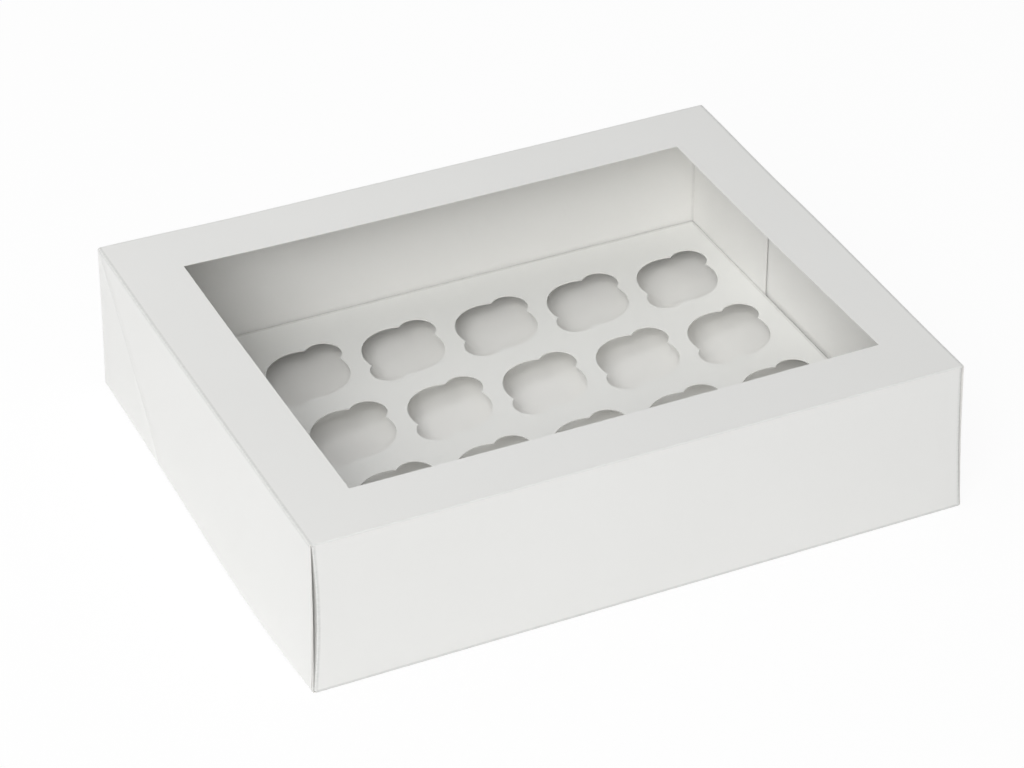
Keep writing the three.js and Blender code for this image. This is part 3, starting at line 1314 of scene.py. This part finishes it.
@dataclass
class Film:
    """The clear film that is glued under the lid, round the window.

    Attributes:
        outside: The film's extent in the CAD model.
        lid: The lid that it hangs with.
        corner_radius: The radius of its corners.
        corner_steps: How many edges go round a corner.
        pitch: The spacing of the lines that let it hang.
    """

    outside: Extent
    lid: Lid
    corner_radius: float = 4 * MM
    corner_steps: int = 5
    pitch: float = 16 * MM

    def build(self, film: bpy.types.Material) -> bpy.types.Object:
        """Cuts the film.

        Args:
            film: Its material.

        Returns:
            The piece.
        """
        low, high = self.outside.low, self.outside.high
        sheet = BoardSheet.panel("window_film_sheet", low, high, high.z)
        bpy.ops.mesh.select_mode(type="VERT")
        bpy.ops.mesh.select_all(action="SELECT")
        bpy.ops.mesh.bevel(affect="VERTICES", offset=self.corner_radius, segments=self.corner_steps)
        for axis in (Axis.X, Axis.Y):
            inner = self.outside.shrunk(self.corner_radius)
            sheet.score_across(axis, spaced(inner.low[axis], inner.high[axis], self.pitch))
        sheet.weld(Vector((0, 0, 0)))
        sheet.bend(lambda point: Vector((0, 0, -self.lid.sagged(point))))
        return sheet.finish(high.z - low.z, [film] * 3)


@dataclass(frozen=True)
class PhotoCamera:
    """The camera, at the photograph's viewing angle.

    Attributes:
        azimuth: How far it stands round to the side of the hinge side, in degrees. Left is negative.
        elevation: How far above the ground it looks down from, in degrees.
        distance: How far it stands from its target.
        target: The point that it stands at that distance from.
        aim_right: How far right of the target it aims, as a share of the distance.
        aim_up: How far above the target it aims, as a share of the distance.
        lens: Its focal length in millimetres, on a sensor 36 mm wide.
    """

    azimuth: float = -25.49
    elevation: float = 34.14
    distance: float = 2.413
    target: tuple[float, float, float] = (0, 0, 0.0437)
    aim_right: float = -0.0028
    aim_up: float = 0.0014
    lens: float = 129.2

    def build(self) -> bpy.types.Object:
        """Sets the camera up and makes it the scene's.

        Returns:
            The camera.
        """
        azimuth, elevation = math.radians(self.azimuth), math.radians(self.elevation)
        level = math.cos(elevation)
        back = Vector((math.sin(azimuth) * level, -math.cos(azimuth) * level, math.sin(elevation)))
        right = (-back).cross(Axis.Z.direction).normalized()
        up = right.cross(-back)
        aim = -back + right * self.aim_right + up * self.aim_up
        bpy.ops.object.camera_add(location=Vector(self.target) + back * self.distance)
        camera = bpy.context.active_object
        camera.name = "photo_camera"
        camera.rotation_euler = aim.to_track_quat("-Z", "Y").to_euler()
        camera.data.lens = self.lens
        camera.data.sensor_width = SENSOR_WIDTH
        camera.data.clip_end = 100
        bpy.context.scene.camera = camera
        return camera


@dataclass(frozen=True)
class SoftLight:
    """A large square lamp that faces the box.

    Attributes:
        name: The lamp's name.
        azimuth: How far round it stands, in degrees, as for the camera.
        elevation: How high it stands, in degrees.
        distance: How far away it stands.
        size: The length of its side.
        power: Its power in watts.
    """

    name: str
    azimuth: float
    elevation: float
    distance: float
    size: float
    power: float

    def build(self) -> bpy.types.Object:
        """Hangs the lamp.

        Returns:
            The lamp.
        """
        azimuth, elevation = math.radians(self.azimuth), math.radians(self.elevation)
        level = math.cos(elevation)
        back = Vector((math.sin(azimuth) * level, -math.cos(azimuth) * level, math.sin(elevation)))
        bpy.ops.object.light_add(type="AREA", location=back * self.distance)
        lamp = bpy.context.active_object
        lamp.name = self.name
        lamp.rotation_euler = (-back).to_track_quat("-Z", "Y").to_euler()
        lamp.data.size = self.size
        lamp.data.energy = self.power
        return lamp


@dataclass(frozen=True)
class Studio:
    """The plain pale studio: a white floor, an even sky and soft lamps.

    Attributes:
        sky_strength: How bright the sky lights the box.
        floor_size: The length of the floor's side.
        floor_colour: The floor's linear colour.
        floor_white: How much of what the camera sees of the floor is plain white, and not its shading.
        lamps: The lamps.
    """

    sky_strength: float = 0.2
    floor_size: float = 12.0
    floor_colour: tuple[float, float, float] = (0.96, 0.96, 0.96)
    floor_white: float = 0.93
    lamps: tuple[SoftLight, ...] = (
        SoftLight("key_lamp", azimuth=-40, elevation=38, distance=6, size=3.7, power=244),
        SoftLight("left_lamp", azimuth=-105, elevation=58, distance=2.2, size=1.36, power=10.5),
        SoftLight("low_lamp", azimuth=-28, elevation=10, distance=6, size=2.4, power=26),
        SoftLight("back_lamp", azimuth=180, elevation=50, distance=6, size=3.7, power=42),
    )

    def _seen_directly(self, tree: bpy.types.NodeTree) -> bpy.types.NodeSocket:
        """Adds nodes that say whether a ray shows the background: to the camera, in gloss or through glass.

        Args:
            tree: The node tree that they are added to.

        Returns:
            The output that says it, as 0 or 1.
        """
        path = tree.nodes.new("ShaderNodeLightPath")
        total = path.outputs["Is Camera Ray"]
        for name in ("Is Glossy Ray", "Is Transmission Ray"):
            more = tree.nodes.new("ShaderNodeMath")
            more.operation = "MAXIMUM"
            tree.links.new(total, more.inputs[0])
            tree.links.new(path.outputs[name], more.inputs[1])
            total = more.outputs[0]
        return total

    def sky(self) -> None:
        """Lights the scene evenly from all round, with a white background."""
        world = bpy.data.worlds.new("pale_sky")
        world.use_nodes = True
        tree = world.node_tree
        light = next(node for node in tree.nodes if node.type == "BACKGROUND")
        output = next(node for node in tree.nodes if node.type == "OUTPUT_WORLD")
        light.inputs["Color"].default_value = (1, 1, 1, 1)
        light.inputs["Strength"].default_value = self.sky_strength
        white = tree.nodes.new("ShaderNodeBackground")
        white.inputs["Color"].default_value = (1, 1, 1, 1)
        mix = tree.nodes.new("ShaderNodeMixShader")
        tree.links.new(self._seen_directly(tree), mix.inputs[0])
        tree.links.new(light.outputs[0], mix.inputs[1])
        tree.links.new(white.outputs[0], mix.inputs[2])
        tree.links.new(mix.outputs[0], output.inputs["Surface"])
        bpy.context.scene.world = world

    def floor(self) -> bpy.types.Object:
        """Lays the floor.

        Returns:
            The floor.
        """
        shader = Shader("white_floor")
        shader.set("Base Color", (*self.floor_colour, 1))
        shader.set("Roughness", 1)
        shader.set("Specular IOR Level", 0)
        white = shader.add("ShaderNodeEmission")
        mix = shader.add("ShaderNodeMixShader")
        share = shader.add("ShaderNodeMath", operation="MULTIPLY")
        share.inputs[1].default_value = self.floor_white
        output = next(node for node in shader.tree.nodes if node.type == "OUTPUT_MATERIAL")
        shader.link(self._seen_directly(shader.tree), share.inputs[0])
        shader.link(share.outputs[0], mix.inputs[0])
        shader.link(shader.bsdf.outputs[0], mix.inputs[1])
        shader.link(white.outputs[0], mix.inputs[2])
        shader.link(mix.outputs[0], output.inputs["Surface"])
        bpy.ops.object.select_all(action="DESELECT")
        bpy.ops.mesh.primitive_plane_add(size=self.floor_size, location=(0, 0, 0))
        floor = bpy.context.active_object
        floor.name = "studio_floor"
        floor.data.materials.append(shader.material)
        return floor

    def build(self) -> None:
        """Sets the whole studio up."""
        self.sky()
        self.floor()
        for lamp in self.lamps:
            lamp.build()
        bpy.context.scene.view_settings.view_transform = "Standard"


def mount(piece: bpy.types.Object, body: Body, node: str) -> None:
    """Makes a finished piece stand for a CAD node.

    Args:
        piece: The piece.
        body: The body that it rides on.
        node: The CAD node.
    """
    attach(piece, body.value)
    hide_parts(node)
    triangles = sum(len(face.vertices) - 2 for face in piece.data.polygons)
    LOG.info("%s stands for %s on %s: %d triangles", piece.name, node, body.value, triangles)


def main() -> None:
    """Builds the studio and the box."""
    logging.basicConfig(level=logging.INFO, format="%(message)s")
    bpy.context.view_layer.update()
    PhotoCamera().build()
    Studio().build()

    board = Board()
    grain = PaperGrain().build()
    outside, inside, edge, insert_top = (
        finish.make(grain) for finish in (COATED, INSIDE, CUT_EDGE, INSERT_TOP)
    )
    film_extent = Extent.of_node("window_film")
    lid = Lid(board, Extent.of_node("lid"), film_extent.shrunk(FILM_OVERLAP))
    tray = Tray(board, Extent.of_node("tray"), lid.outside.high.z - board.bend - lid.lip)
    insert = Insert(board, Extent.of_node("insert"))
    film = Film(film_extent, lid)

    mount(tray.build([outside, inside, edge]), Body.BASE, "tray")
    mount(insert.build([insert_top, inside, edge]), Body.BASE, "insert")
    mount(lid.build([outside, inside, edge]), Body.LID, "lid")
    mount(film.build(FilmFinish().make()), Body.LID, "window_film")


if __name__ == "__main__":
    main()
